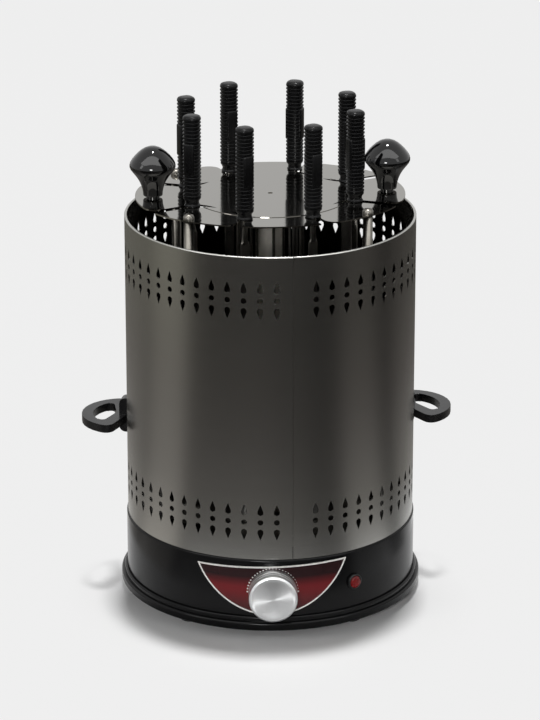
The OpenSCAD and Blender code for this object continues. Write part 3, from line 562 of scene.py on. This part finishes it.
class GRILL_OT_base(bpy.types.Operator):
    """Satin plastic base, cover, feet and the works inside"""
    bl_idname = "grill.base"
    bl_label = "Base and works"

    def execute(self, context):
        f = finishes()
        for node in ("base_housing", "bottom_cover"):
            dressed(node, f["base"], crease=48, round_about_z=True)
        for node, finish in (("rubber_feet", "rubber"), ("lamp_bezel", "trim"),
                             ("cord_gland", "trim"), ("timer_body", "plain"),
                             ("cooking_deck", "cup"), ("gear_plate", "plain"),
                             ("gear_motor", "plain"), ("motor_pinion", "gear"),
                             ("drive_gear", "gear"), ("centre_hub", "plain"),
                             ("heater_sockets", "ceramic"), ("heater_guard", "post"),
                             ("support_posts", "post"), ("dome_nuts", "post"),
                             ("frame_screws", "bright")):
            dressed(node, f[finish])
        for k in SKEWERS:
            dressed(f"spindle_{k}", f["gear"])
            dressed(f"drip_cup_{k}", f["cup"])
            # the blades take the darkened rod finish, a painted shade that keeps them dark inside
            # the casing
            dressed(f"skewer_blade_{k}", f["post"])
        return {"FINISHED"}


class GRILL_OT_top_plate(bpy.types.Operator):
    """Mirror finish for the slotted top plate"""
    bl_idname = "grill.top_plate"
    bl_label = "Top plate"

    def execute(self, context):
        dressed("top_plate", finishes()["mirror"], crease=20, round_about_z=True)
        return {"FINISHED"}


class GRILL_OT_lift_knobs(bpy.types.Operator):
    """Two turned black knobs on the top plate"""
    bl_idname = "grill.lift_knobs"
    bl_label = "Lift knobs"

    def execute(self, context):
        low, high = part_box("lift_knobs")
        # a foot, a waist that widens to the brim, and a crown
        profile = ((0, 0), (5.3, 0), (5.3, 0.9), (5.3, 1.8), (7.7, 1.8), (8, 2.1), (8.1, 3.2),
                   (8.2, 5), (8.7, 7.6), (9.7, 11), (11.4, 14.8), (13.7, 18.4), (16.2, 21.6),
                   (18, 24), (18.8, 26), (18.8, 27.6), (18.2, 29.6), (16.9, 31.8), (14.9, 34.4),
                   (12.3, 37.2), (9.6, 39.6), (6.9, 41.4), (4.3, 42.5), (2, 42.9), (0, 43))
        both = bmesh.new()
        for turn in (90, -90):
            place = turned(UNIT_TURN + turn, LIFT_RING_R, low.z / MM)
            merged(both, spin_profile(profile, place))
        piece(both, "turned_lift_knobs", "base", "knob_plastic", finishes()["knob"], crease=40,
              replaces=("lift_knobs",))
        return {"FINISHED"}


def rounded_bar(width, height, rounding):
    """A short square bar with rounded long edges, as a bmesh, and its top face."""
    bm = block(width, width, height)
    rounded(bm, [e for e in bm.edges if abs(e.verts[0].co.z - e.verts[1].co.z) > height / 2],
            rounding)
    return bm, max(bm.faces, key=lambda face: face.normal.z * 10 + face.calc_center_median().z)


def raise_face(bm, face, height, growth):
    """Extrudes the top face upwards and makes it this many times as wide."""
    face = bmesh.ops.extrude_discrete_faces(bm, faces=[face])["faces"][0]
    bmesh.ops.translate(bm, vec=(0, 0, height), verts=face.verts)
    bmesh.ops.scale(bm, vec=(growth, growth, 1), verts=face.verts)
    return face


def ribbed_grip(tall, sizes):
    """A skewer's grip, tall mm high, as a bmesh: a square bar with rounded edges, raised step by
    step. A step is its height in mm and the bar's width at its end, as a share of the grip's."""
    pitch = sizes.rib_pitch / MM
    groove = 1 - 2 * sizes.rib_depth / (GRIP_W * MM)
    start, foot_share = 0.2, 0.84
    # the foot's collar, the neck, the shoulder, and down into the first groove
    foot = [(0.4, 0.88), (0.6, 0.86), (0.8, 0.76), (2.0, 0.75), (0.7, 0.79), (1.0, 0.9),
            (0.8, 0.96), (1.2, 0.96), (0.3, groove)]
    rib = [(0.15, groove), (0.35, 0.975), (0.25, 1.0), (0.9, 1.0), (0.25, 0.975), (0.35, groove)]
    rib.append((pitch - sum(height for height, share in rib), groove))
    # out of the last groove; the cap's sides follow, as long as what is left, and its rounding
    rise = [(0.3, 0.99)]
    rounding = [(1.0, 0.97), (0.8, 0.9), (0.5, 0.78), (0.3, 0.6)]
    used = start + sum(height for height, share in foot + rib * RIBS + rise + rounding)
    steps = foot + rib * RIBS + rise + [(tall - used, 1.0)] + rounding

    bm, top = rounded_bar(GRIP_W * MM, start * MM, sizes.grip_round)
    bmesh.ops.scale(bm, vec=(foot_share, foot_share, 1), verts=bm.verts)
    now = foot_share
    for height, share in steps:
        top = raise_face(bm, top, height * MM, share / now)
        now = share
    # the smooth panels lie in the middle of the ribs, on two opposite sides, and stand proud
    proud = 0.03
    panels = block(9.6 * MM, (GRIP_W + 2 * proud) * MM, SMOOTH_PITCHES * sizes.rib_pitch)
    rounded(panels, panels.edges[:], 1.7 * MM)
    ribs_from = sum(height for height, share in foot)
    bmesh.ops.translate(panels, verts=panels.verts,
                        vec=(0, 0, (ribs_from + RIBS * pitch / 2) * MM))
    merged(bm, panels)
    return bm


class GRILL_OT_grips(bpy.types.Operator):
    """Eight ribbed skewer grips, each with two smooth panels in its middle"""
    bl_idname = "grill.grips"
    bl_label = "Skewer grips"

    def execute(self, context):
        for k in SKEWERS:
            node = f"skewer_handle_{k}"
            low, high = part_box(node)
            bm = ribbed_grip((high.z - low.z) / MM, context.scene.grill_sizes)
            foot = min(v.co.z for v in bm.verts)
            middle = (low + high) / 2
            turn = FIRST_SKEWER + SKEWER_STEP * (k - 1) + SKEWER_TURNS[k - 1]
            place = Matrix.Translation((middle.x, middle.y, low.z - foot)) @ Matrix.Rotation(
                math.radians(turn), 4, "Z")
            bmesh.ops.transform(bm, matrix=place, verts=bm.verts)
            piece(bm, f"ribbed_grip_{k}", f"skewer_{k}", "grip_plastic", finishes()["grip"],
                  crease=32, replaces=(node,))
        return {"FINISHED"}


def wrapped(bm, radius):
    """Lays a flat sheet in the XZ plane round the base's wall and turns it to the panel."""
    for v in bm.verts:
        v.co.y -= math.sqrt(radius * radius - v.co.x * v.co.x)
    bmesh.ops.rotate(bm, cent=(0, 0, 0), verts=bm.verts,
                     matrix=Matrix.Rotation(math.radians(PANEL_TURN), 3, "Z"))


def flat_disc(x, z, radius, segments):
    """A disc standing in the XZ plane, facing -Y."""
    bm = bmesh.new()
    place = Matrix.Translation((x, 0, z)) @ Matrix.Rotation(math.radians(90), 4, "X")
    bmesh.ops.create_circle(bm, cap_ends=True, segments=segments, radius=radius, matrix=place)
    bmesh.ops.recalc_face_normals(bm, faces=bm.faces)
    for face in bm.faces:
        if face.normal.y > 0:
            face.normal_flip()
    return bm


def panel_field(inset, lift):
    """The panel's outline, drawn in by the inset and wrapped round the wall, this many mm above
    the sheet's own face."""
    bm = flat_disc(0, PANEL_MIDDLE * MM, PANEL_R * MM - inset, segments=240)
    cut(bm, (0, 0, PANEL_TOP * MM - inset), (0, 0, 1), clear_outer=True)
    bmesh.ops.rotate(bm, cent=(0, 0, KNOB_Z * MM), verts=bm.verts,
                     matrix=Matrix.Rotation(math.radians(-PANEL_TILT), 3, "Y"))
    # cut into upright strips 2 mm wide, so that it can follow the wall
    strip = 0.002
    for step in range(-30, 31):
        cut(bm, (step * strip, 0, 0), (1, 0, 0))
    wrapped(bm, (PANEL_FACE_R + lift) * MM)
    return bm


class GRILL_OT_panel(bpy.types.Operator):
    """Curved control panel with its white border and the timer's ring of dots"""
    bl_idname = "grill.panel"
    bl_label = "Control panel"

    def execute(self, context):
        s = context.scene.grill_sizes
        f = finishes()
        sheet = bmesh.new()
        # the white plate, and on it the red field, which is smaller all round by the border
        for finish, inset, lift, thickness in ((0, 0.0, 0.0, 0.7), (1, s.border, INK, INK)):
            bm = panel_field(inset, lift)
            for face in bm.faces:
                face.material_index = finish
            bmesh.ops.solidify(bm, geom=bm.faces[:], thickness=thickness * MM)
            merged(sheet, bm)
        fixed = piece(sheet, "printed_control_panel", "base", "panel_print", f["ink"],
                      f["panel"], crease=30, replaces=("control_panel",))
        true_normals(fixed.data)

        # dots that shrink over half a turn, from nine o'clock over the top to three o'clock,
        # and end in a large one
        dots = bmesh.new()
        first, last, end, steps = 0.68, 0.32, 0.75, 24
        for i in range(steps + 1):
            a = math.radians(180 - 180 * i / steps)
            shrunk = min(i / (steps - 2), 1)
            radius = first + (last - first) * shrunk if i < steps else end
            x, z = s.scale_radius * math.cos(a), KNOB_Z * MM + s.scale_radius * math.sin(a)
            merged(dots, flat_disc(x, z, radius * MM, segments=16))
        wrapped(dots, (PANEL_FACE_R + 2 * INK) * MM)
        bmesh.ops.solidify(dots, geom=dots.faces[:], thickness=0.04 * MM)
        piece(dots, "timer_scale", "base", "panel_print", f["ink"])
        return {"FINISHED"}


class GRILL_OT_timer_knob(bpy.types.Operator):
    """Turned aluminium timer knob: grooved rim, faintly domed face and a white pointer line"""
    bl_idname = "grill.timer_knob"
    bl_label = "Timer knob"

    def execute(self, context):
        f = finishes()
        low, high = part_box("timer_knob")
        radius = (high.x - low.x) / 2 / MM
        deep = (high.y - low.y) / MM
        place = outward(PANEL_TURN, -low.y / MM - deep, KNOB_Z)
        # the hollow back, two grooves round the side, the rounded rim and the face
        profile = [(3.3, 1), (7, 0), (7, 2), (radius - 2.2, 2), (radius - 2.2, 0),
                   (radius - 0.5, 0), (radius, 0.5)]
        for groove in (5.4, 9.6):
            profile += [(radius, groove), (radius - 0.35, groove + 0.25),
                        (radius - 0.35, groove + 0.55), (radius, groove + 0.8)]
        rim = deep - 1.7
        profile += [(radius, rim), (radius - 0.2, rim + 0.5), (radius - 0.7, rim + 0.95),
                    (radius - 1.4, rim + 1.3), (radius - 2.1, rim + 1.45)]
        face_r, face_z, dome, steps = radius - 2.3, rim + 1.4, 0.28, 8
        profile += [(face_r * (1 - i / steps), face_z + dome * (1 - (1 - i / steps) ** 2))
                    for i in range(steps + 1)]
        knob = spin_profile(profile, place, steps=160)
        piece(knob, "turned_timer_knob", body_of("timer_knob"), slot_of("timer_knob"),
              f["aluminium"], crease=30, replaces=("timer_knob",))
        # the pointer starts a little in from the face's edge
        line = block(4.2 * MM, 0.5 * MM, 0.1 * MM)
        rounded(line, line.edges[:], 0.03 * MM, segments=2)
        bmesh.ops.transform(line, matrix=place @ Matrix.Translation(
            Vector((-radius + 4.0, 0, face_z + 0.13)) * MM), verts=line.verts)
        piece(line, "knob_pointer", body_of("timer_knob"), slot_of("timer_knob"), f["ink"])
        return {"FINISHED"}


class GRILL_OT_lamp(bpy.types.Operator):
    """Domed red lens of the pilot lamp"""
    bl_idname = "grill.lamp"
    bl_label = "Pilot lamp"

    def execute(self, context):
        profile = ((0, 0), (3.5, 0), (3.5, 10), (4.8, 10.5), (5.1, 14.5), (5.1, 16),
                   (4.9, 16.8), (4.3, 17.6), (3.2, 18.3), (1.8, 18.7), (0.8, 18.8), (0, 18.8))
        bm = spin_profile(profile, outward(LAMP_TURN, LAMP_SEAT_R, LAMP_Z), steps=48)
        piece(bm, "domed_lens", "base", "lens", finishes()["lens"], replaces=("lamp_lens",))
        return {"FINISHED"}


class GRILL_OT_heater(bpy.types.Operator):
    """Frosted heater tube with its coil of resistance wire inside"""
    bl_idname = "grill.heater"
    bl_label = "Heater"

    def execute(self, context):
        dressed("heater_tube", finishes()["quartz"])
        low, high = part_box("heater_tube")
        turns, coil_r, wire_r, clear = 46, 5.5 * MM, 0.5 * MM, 10 * MM
        steps = turns * 16
        climb = (high.z - low.z - 2 * clear) / steps
        bm = bmesh.new()
        place = Matrix.Translation((coil_r, 0, low.z + clear)) @ Matrix.Rotation(
            math.radians(90), 4, "X")
        made = bmesh.ops.create_circle(bm, cap_ends=False, segments=6, radius=wire_r,
                                       matrix=place)
        bmesh.ops.spin(bm, geom=made["verts"] + bm.edges[:], cent=(0, 0, 0), axis=(0, 0, 1),
                       angle=math.radians(360 * turns), steps=steps, dvec=(0, 0, climb),
                       use_merge=False, use_duplicate=False)
        bmesh.ops.recalc_face_normals(bm, faces=bm.faces)
        piece(bm, "heating_coil", "base", "wire_steel", finishes()["coil"], crease=60)
        return {"FINISHED"}


# ---- stage ----


PALE = linear("#efefef")

# the camera that the photograph was taken with, as worked out from it
CAMERA_PLACE = (-0.00025, -2.8629, 1.2296)
CAMERA_TILT = 70.18
LENS, SENSOR_H = 121.69, 24

# each lamp's place and sides in metres, and its watts
LAMPS = (("overhead", (0.1, 0.62, 6.0), (0.45, 0.4), 240),
         ("front", (-0.35, -2.6, 1.0), (0.5, 0.5), 24),
         ("left", (-1.7, -0.9, 1.3), (0.4, 0.9), 3),
         ("right", (1.6, -1.0, 1.3), (0.4, 0.9), 2))
AIM = Vector((0, 0, 0.2))


def background_share(tree):
    """1 for rays that should see the plain background: camera, glossy and transmission."""
    path = add(tree, "ShaderNodeLightPath").outputs
    first = add(tree, "ShaderNodeMath", {0: path["Is Camera Ray"], 1: path["Is Glossy Ray"]},
                operation="MAXIMUM")
    return add(tree, "ShaderNodeMath", {0: first, 1: path["Is Transmission Ray"]},
               operation="MAXIMUM")


def studio_world():
    """A pale background, and a soft, weak light from all round."""
    world = bpy.data.worlds.new("studio")
    world.use_nodes = True
    tree = world.node_tree
    tree.nodes.clear()
    soft = add(tree, "ShaderNodeBackground", {"Color": WHITE, "Strength": 0.07})
    plain = add(tree, "ShaderNodeBackground", {"Color": PALE, "Strength": 1.0})
    both = add(tree, "ShaderNodeMixShader", {0: background_share(tree), 1: soft, 2: plain})
    add(tree, "ShaderNodeOutputWorld", {"Surface": both})
    return world


def floor_finish():
    """Pale studio floor: lit and shadowed under and in front of the grill, plain further out."""
    made, tree = new_material("pale studio floor", WHITE)
    lit = add(tree, "ShaderNodeBsdfDiffuse", {"Color": linear("#f4f4f4")})
    shine = add(tree, "ShaderNodeEmission", {"Color": PALE, "Strength": 1.0})
    # from a point 60 mm in front of the grill's middle
    flat = add(tree, "ShaderNodeVectorMath", {0: object_place(tree, location=(0, 0.06, 0))},
               operation="LENGTH")
    plain = add(tree, "ShaderNodeMapRange", {"Value": flat, "From Min": 0.12,
                "From Max": 0.175, "To Max": 0.97})
    share = add(tree, "ShaderNodeMath", {0: background_share(tree), 1: plain},
                operation="MULTIPLY")
    mix = add(tree, "ShaderNodeMixShader", {0: share, 1: lit, 2: shine})
    add(tree, "ShaderNodeOutputMaterial", {"Surface": mix})
    return made


def angle_stops(stops, most=1):
    """Stops of a ramp round the grill: angles from the back by the left, the front and the right
    to the back, and greys up to most."""
    return [((angle + 180) / 360, (grey / most,) * 3 + (1,)) for angle, grey in stops]


def reflection_ring_finish():
    """A glowing ring seen only in reflections: painted reflections of a studio's dark and light,
    which the steel shows in upright columns.
    """
    made, tree = new_material("painted reflection ring", WHITE)
    brightest = 4
    place = object_place(tree)
    flat = add(tree, "ShaderNodeVectorMath", {0: place}, operation="LENGTH")
    # its painted reflection grey from the grill outwards, to the front and to the left
    front_grey = add(tree, "ShaderNodeValToRGB", {"Fac": flat}, stops=(
        (0.0, linear("#efefef")), (1.0, linear("#3c3a37")), (0.20, linear("#d4d4d4")),
        (0.27, linear("#9a9a9a")), (0.34, linear("#767471")), (0.46, linear("#666462")),
        (0.62, linear("#524f4d")), (0.85, linear("#454340"))))
    left_grey = add(tree, "ShaderNodeValToRGB", {"Fac": flat}, stops=(
        (0.0, linear("#8c8c8c")), (1.0, linear("#53524c")), (0.20, linear("#74726f")),
        (0.42, linear("#545250")), (0.75, linear("#4c4a47"))))
    # where it lies round the grill, 0 and 1 at the back and 0.5 at the front
    parts = add(tree, "ShaderNodeSeparateXYZ", {"Vector": place}).outputs
    front = add(tree, "ShaderNodeMath", {0: parts["Y"], 1: -1.0}, operation="MULTIPLY")
    angle = add(tree, "ShaderNodeMath", {0: parts["X"], 1: front}, operation="ARCTAN2")
    share = add(tree, "ShaderNodeMapRange", {"Value": angle, "From Min": -math.pi,
                "From Max": math.pi})
    leftness = add(tree, "ShaderNodeValToRGB", {"Fac": share}, stops=angle_stops(
        ((-180, 0), (180, 0), (-110, 1), (-66, 1), (-50, 0))))
    # painted light and dark columns round the grill, which the casing reflects as upright streaks
    columns = add(tree, "ShaderNodeValToRGB", {"Fac": share}, stops=angle_stops(
        ((-180, 2.4), (180, 2.4), (-130, 2.9), (-112, 2.4), (-102, 2.0), (-94, 3.6), (-68, 4.0),
         (-61, 0.9), (-8, 1.0), (22, 0.7), (38, 0.4), (50, 0.45), (56, 1.6), (80, 1.7),
         (90, 0.6), (100, 0.6), (108, 1.4), (130, 2.0)), brightest))
    far = add(tree, "ShaderNodeMix", {"Factor": leftness, 6: front_grey, 7: left_grey},
              data_type="RGBA")
    grey = add(tree, "ShaderNodeMix", {"Factor": 1.0, 6: far, 7: columns}, data_type="RGBA",
               blend_type="MULTIPLY")
    shine = add(tree, "ShaderNodeEmission", {"Color": grey, "Strength": brightest})
    add(tree, "ShaderNodeOutputMaterial", {"Surface": shine})
    return made


def soft_panel_finish():
    """Even white light, which polished black plastic shows as a pale sheen."""
    made, tree = new_material("soft panel", WHITE)
    shine = add(tree, "ShaderNodeEmission", {"Color": WHITE, "Strength": 3.2})
    add(tree, "ShaderNodeOutputMaterial", {"Surface": shine})
    return made


def studio_floor():
    """The floor, 12 m square."""
    bm = bmesh.new()
    bmesh.ops.create_grid(bm, x_segments=1, y_segments=1, size=6)
    return new_object(bm, "floor", floor_finish())


def studio_reflection_ring():
    """A ring on the floor round the grill, 0.2 to 3 m out, that glows with painted reflections.
    """
    bm = bmesh.new()
    inner = bmesh.ops.create_circle(bm, cap_ends=False, segments=96, radius=0.2)
    bmesh.ops.extrude_edge_only(bm, edges=bm.edges[:])
    outer = [v for v in bm.verts if v not in inner["verts"]]
    bmesh.ops.scale(bm, vec=(15, 15, 1), verts=outer)
    bmesh.ops.translate(bm, vec=(0, 0, 0.0005), verts=bm.verts)
    return new_object(bm, "painted_reflection_ring", reflection_ring_finish())


def studio_panel():
    """A panel 4 m wide above the grill, leaning towards the camera."""
    bm = bmesh.new()
    bmesh.ops.create_grid(bm, x_segments=1, y_segments=1, size=0.5)
    bmesh.ops.scale(bm, vec=(4.0, 1.5, 1), verts=bm.verts)
    bmesh.ops.rotate(bm, cent=(0, 0, 0), verts=bm.verts,
                     matrix=Matrix.Rotation(math.radians(-25), 3, "X"))
    bmesh.ops.translate(bm, vec=(0, -1.0, 2.3), verts=bm.verts)
    return new_object(bm, "soft_panel", soft_panel_finish())


class GRILL_OT_stage(bpy.types.Operator):
    """Pale floor, soft light, two glowing cards seen only in reflections, and the camera"""
    bl_idname = "grill.stage"
    bl_label = "Stage"

    def execute(self, context):
        scene = context.scene
        scene.view_settings.view_transform = "Standard"
        scene.world = studio_world()
        floor = studio_floor()
        card = studio_reflection_ring()
        soft_panel = studio_panel()
        # these two show in reflections only
        for unseen in (card, soft_panel):
            unseen.visible_camera = unseen.visible_diffuse = False
            unseen.visible_shadow = unseen.visible_transmission = False

        for name, place, sides, watts in LAMPS:
            light = bpy.data.lights.new(name, "AREA")
            light.shape = "RECTANGLE"
            light.size, light.size_y = sides
            light.energy = watts
            lamp = bpy.data.objects.new(name, light)
            lamp.location = place
            lamp.rotation_euler = (AIM - Vector(place)).to_track_quat("-Z", "Y").to_euler()
            scene.collection.objects.link(lamp)

        data = bpy.data.cameras.new("camera")
        data.sensor_fit = "VERTICAL"
        data.sensor_height = SENSOR_H
        data.lens = LENS
        camera = bpy.data.objects.new("camera", data)
        camera.location = CAMERA_PLACE
        camera.rotation_euler = (math.radians(CAMERA_TILT), 0, 0)
        scene.collection.objects.link(camera)
        scene.camera = camera
        return {"FINISHED"}


# ---- add-on ----


class GRILL_PT_panel(bpy.types.Panel):
    """Sizes, colours and steps of the grill"""
    bl_idname = "GRILL_PT_panel"
    bl_label = "Skewer Grill"
    bl_space_type = "VIEW_3D"
    bl_region_type = "UI"
    bl_category = "Grill"

    def draw(self, context):
        for group in (context.scene.grill_sizes, context.scene.grill_colours):
            for name in group.bl_rna.properties.keys():
                if name not in ("rna_type", "name"):
                    self.layout.prop(group, name)
        for step in STEPS:
            self.layout.operator(step.bl_idname)


STEPS = (GRILL_OT_stage, GRILL_OT_base, GRILL_OT_casing, GRILL_OT_side_handles,
         GRILL_OT_top_plate, GRILL_OT_lift_knobs, GRILL_OT_grips, GRILL_OT_panel,
         GRILL_OT_timer_knob, GRILL_OT_lamp, GRILL_OT_heater)
CLASSES = (GrillSizes, GrillColours, *STEPS, GRILL_PT_panel)


def register():
    """Registers the classes and the two groups of settings."""
    for cls in CLASSES:
        bpy.utils.register_class(cls)
    bpy.types.Scene.grill_sizes = bpy.props.PointerProperty(type=GrillSizes)
    bpy.types.Scene.grill_colours = bpy.props.PointerProperty(type=GrillColours)


def unregister():
    """Takes the settings and the classes away again."""
    del bpy.types.Scene.grill_colours
    del bpy.types.Scene.grill_sizes
    for cls in reversed(CLASSES):
        bpy.utils.unregister_class(cls)


def main():
    """Makes the pieces in turn."""
    register()
    for step in STEPS:
        group, name = step.bl_idname.split(".")
        getattr(getattr(bpy.ops, group), name)()


if __name__ == "__main__":
    main()
